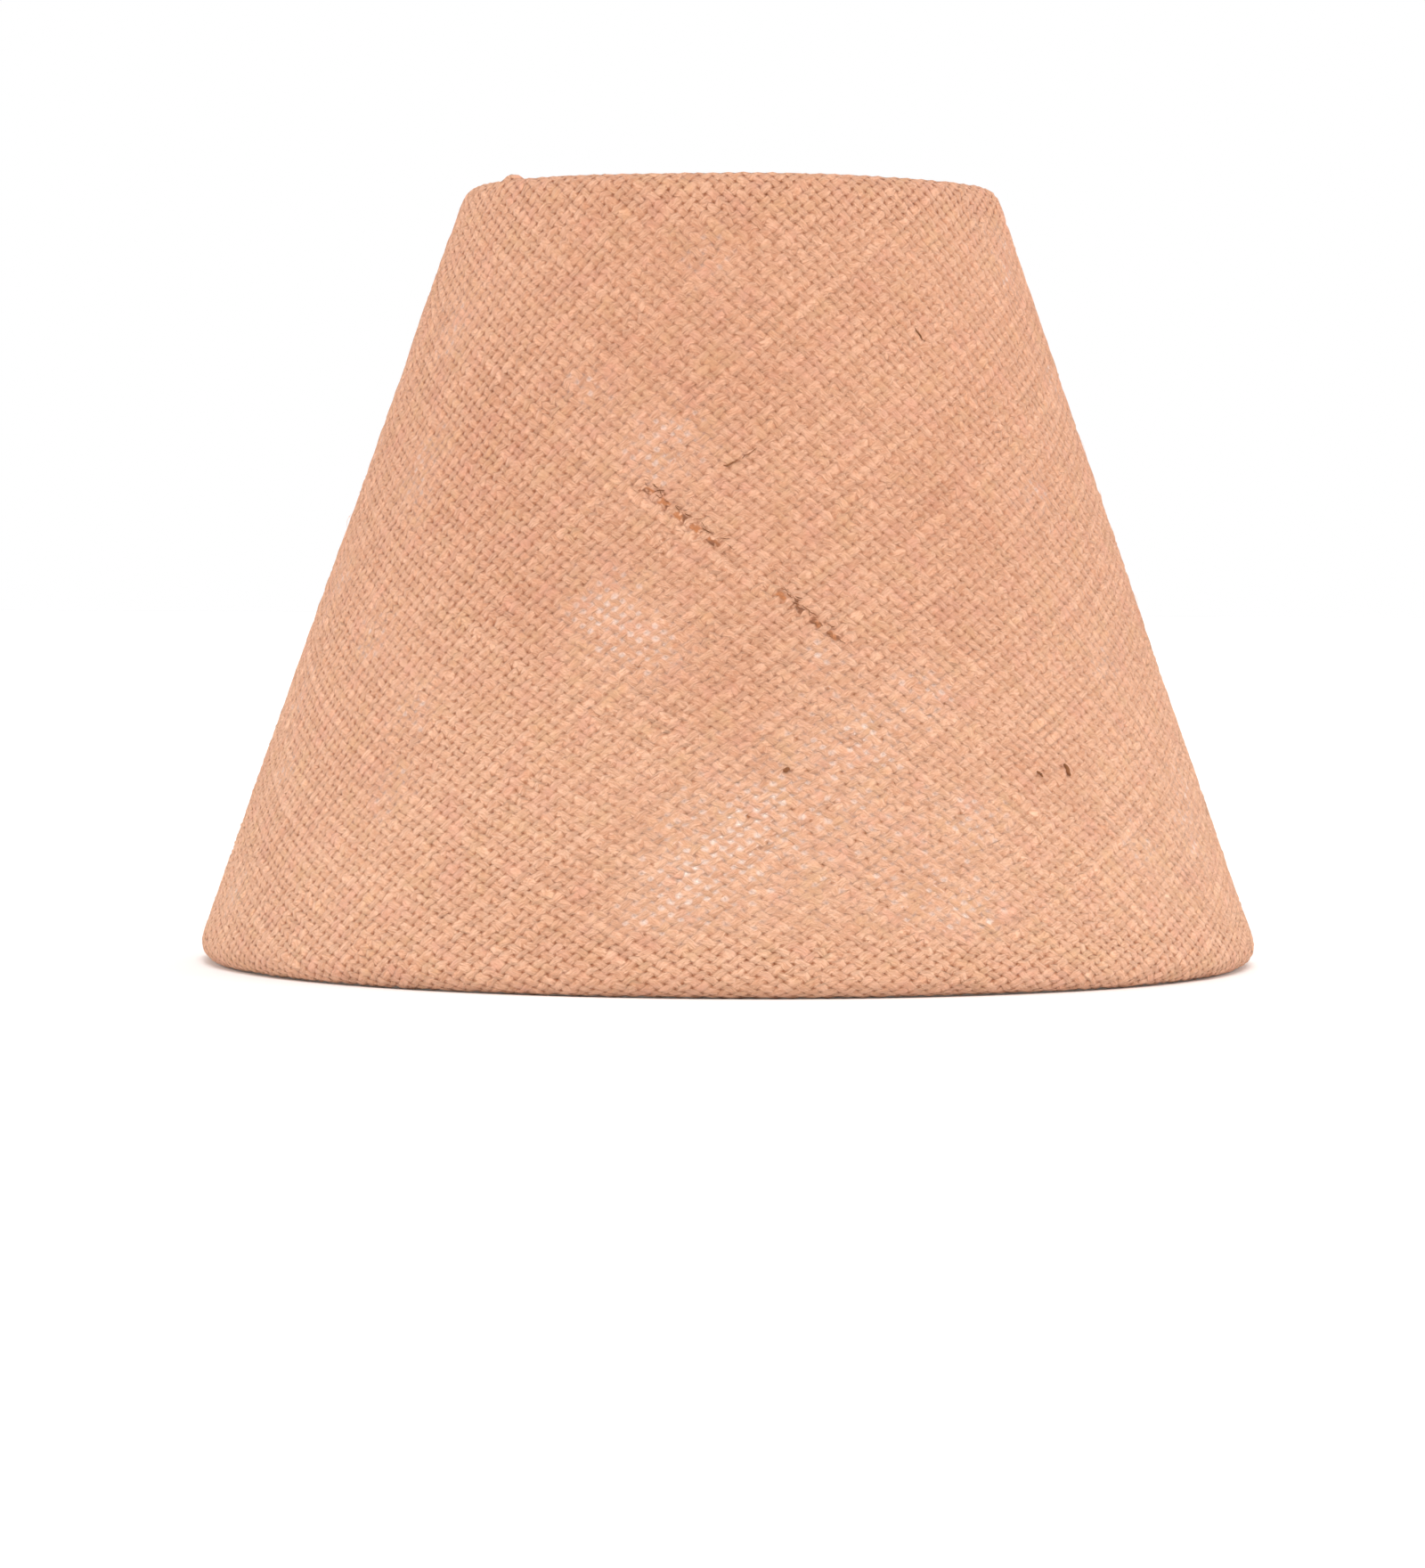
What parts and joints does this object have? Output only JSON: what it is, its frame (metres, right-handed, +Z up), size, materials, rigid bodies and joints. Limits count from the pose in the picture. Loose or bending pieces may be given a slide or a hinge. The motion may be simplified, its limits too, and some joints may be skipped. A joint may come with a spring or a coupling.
{
  "type": "empire lamp shade",
  "caption": "Cone-shaped empire lamp shade: bias-cut jute hessian over a rolled plastic liner, on a wire ring set with a 42 mm carrier ring just above the bottom rim.",
  "frame": {"origin": "centre of the bottom rim, on the plane that the rim rests on", "axes": "+Z up along the shade's axis from the wide rim to the narrow one; -Y is the front, and the seams and the first arm are at +Y, the back"},
  "size_m": [0.2998, 0.2998, 0.22],
  "materials": {
    "cloth": "matte",
    "liner": "satin",
    "frame": "satin"
  },
  "bodies": {
    "root": {"cover": "cloth", "liner": "liner", "top_ring": "frame", "bottom_ring": "frame", "carrier_ring": "frame", "arm_1": "frame", "arm_2": "frame", "arm_3": "frame"}
  },
  "joints": []
}
